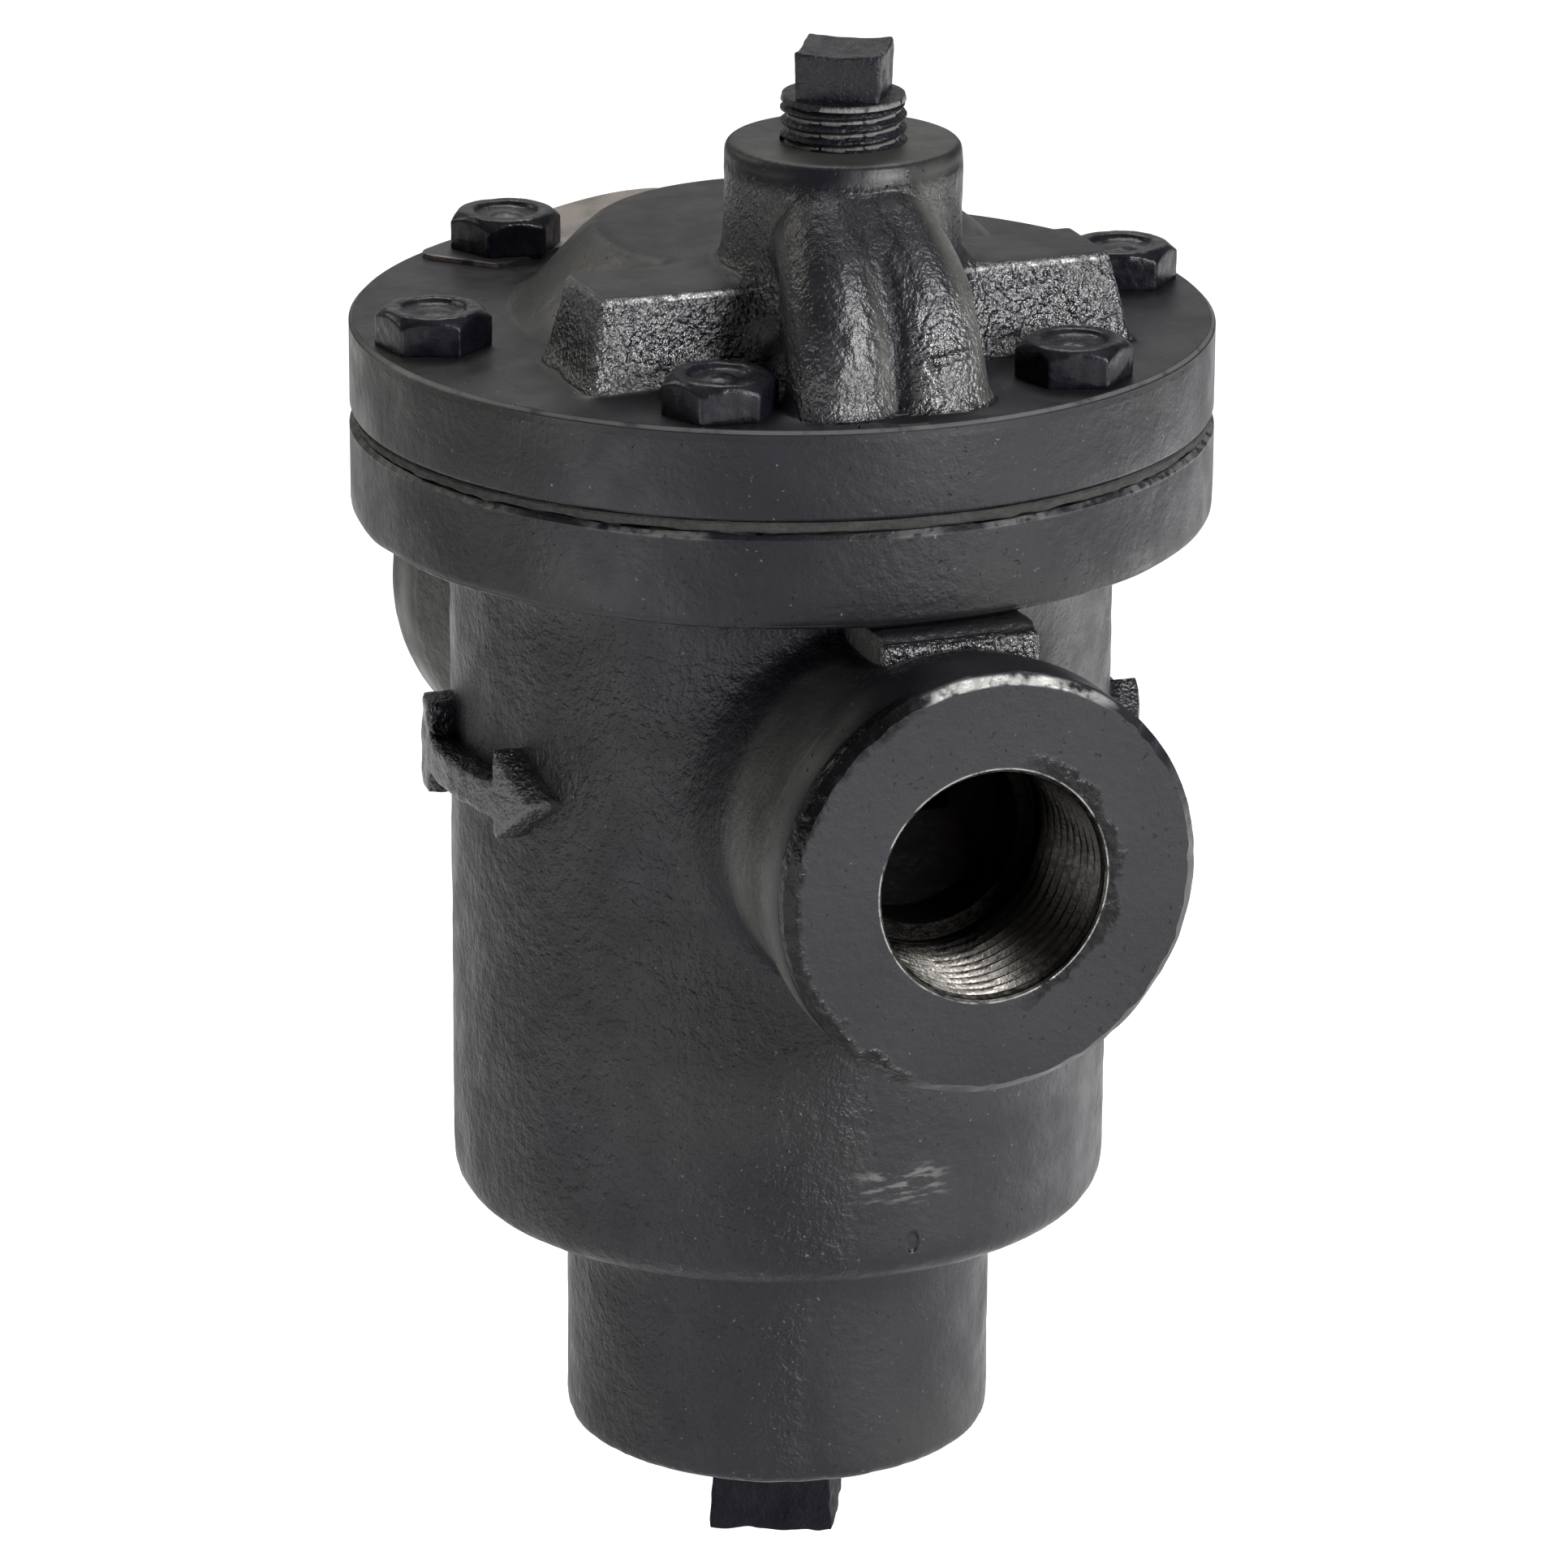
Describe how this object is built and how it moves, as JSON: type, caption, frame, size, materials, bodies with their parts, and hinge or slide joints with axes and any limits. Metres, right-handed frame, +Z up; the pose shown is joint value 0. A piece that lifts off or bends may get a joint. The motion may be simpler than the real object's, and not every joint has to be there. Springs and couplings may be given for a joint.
{
  "type": "steam trap",
  "caption": "Inverted-bucket steam trap with a bolted cap, threaded side ports in line, a test plug on top and a strainer with a drain plug below.",
  "frame": {"origin": "on the body's axis, at the height of the drain plug's lowest point", "axes": "+Z up along the body's axis; +Y from outlet to inlet, so the outlet faces -Y"},
  "size_m": [0.0952, 0.127, 0.1767],
  "materials": {
    "painted_iron": "satin black paint over sand-cast iron",
    "painted_steel": "satin black paint on steel hex heads",
    "painted_plug": "black, threads part bare",
    "gasket": "matt compressed fibre",
    "tag_metal": "dull blank tag",
    "stainless": "drawn stainless steel",
    "hardened_stainless": "ground stainless steel"
  },
  "bodies": {
    "trap": {"body": "painted_iron", "cap_gasket": "gasket", "inlet_tube": "stainless"},
    "cap": {"cap": "painted_iron", "cap_screws": "painted_steel", "nameplate": "tag_metal", "valve_seat": "hardened_stainless", "fulcrum_bracket": "stainless", "fulcrum_pin": "hardened_stainless", "bracket_screws": "hardened_stainless"},
    "lever": {"lever": "stainless", "valve_ball": "hardened_stainless", "valve_retainer": "stainless"},
    "bucket": {"bucket": "stainless", "bucket_clip": "stainless", "clip_rivets": "stainless", "hanger_pin": "hardened_stainless"},
    "test_plug": {"test_plug": "painted_plug"},
    "drain_plug": {"drain_plug": "painted_plug", "strainer_screen": "stainless", "screen_retainer": "stainless"}
  },
  "joints": [
    {"name": "cap_lift", "type": "slide", "parent": "trap", "child": "cap", "axis": [0, 0, 1], "range_m": [0, 0.1]},
    {"name": "lever_swing", "type": "hinge", "parent": "cap", "child": "lever", "pos_m": [0, -0.027, 0.1283], "axis": [1, 0, 0], "range_deg": [0, 13.5]},
    {"name": "bucket_hang", "type": "hinge", "parent": "lever", "child": "bucket", "pos_m": [0, -0.002, 0.12207], "axis": [1, 0, 0], "range_deg": [-13.5, 0]},
    {"name": "test_plug_out", "type": "slide", "parent": "cap", "child": "test_plug", "axis": [0, 0, 1], "range_m": [0, 0.02]},
    {"name": "drain_plug_out", "type": "slide", "parent": "trap", "child": "drain_plug", "axis": [0, 0, -1], "range_m": [0, 0.055]}
  ],
  "couplings": [
    {"joint": "bucket_hang", "follows": "lever_swing", "ratio": -1}
  ]
}
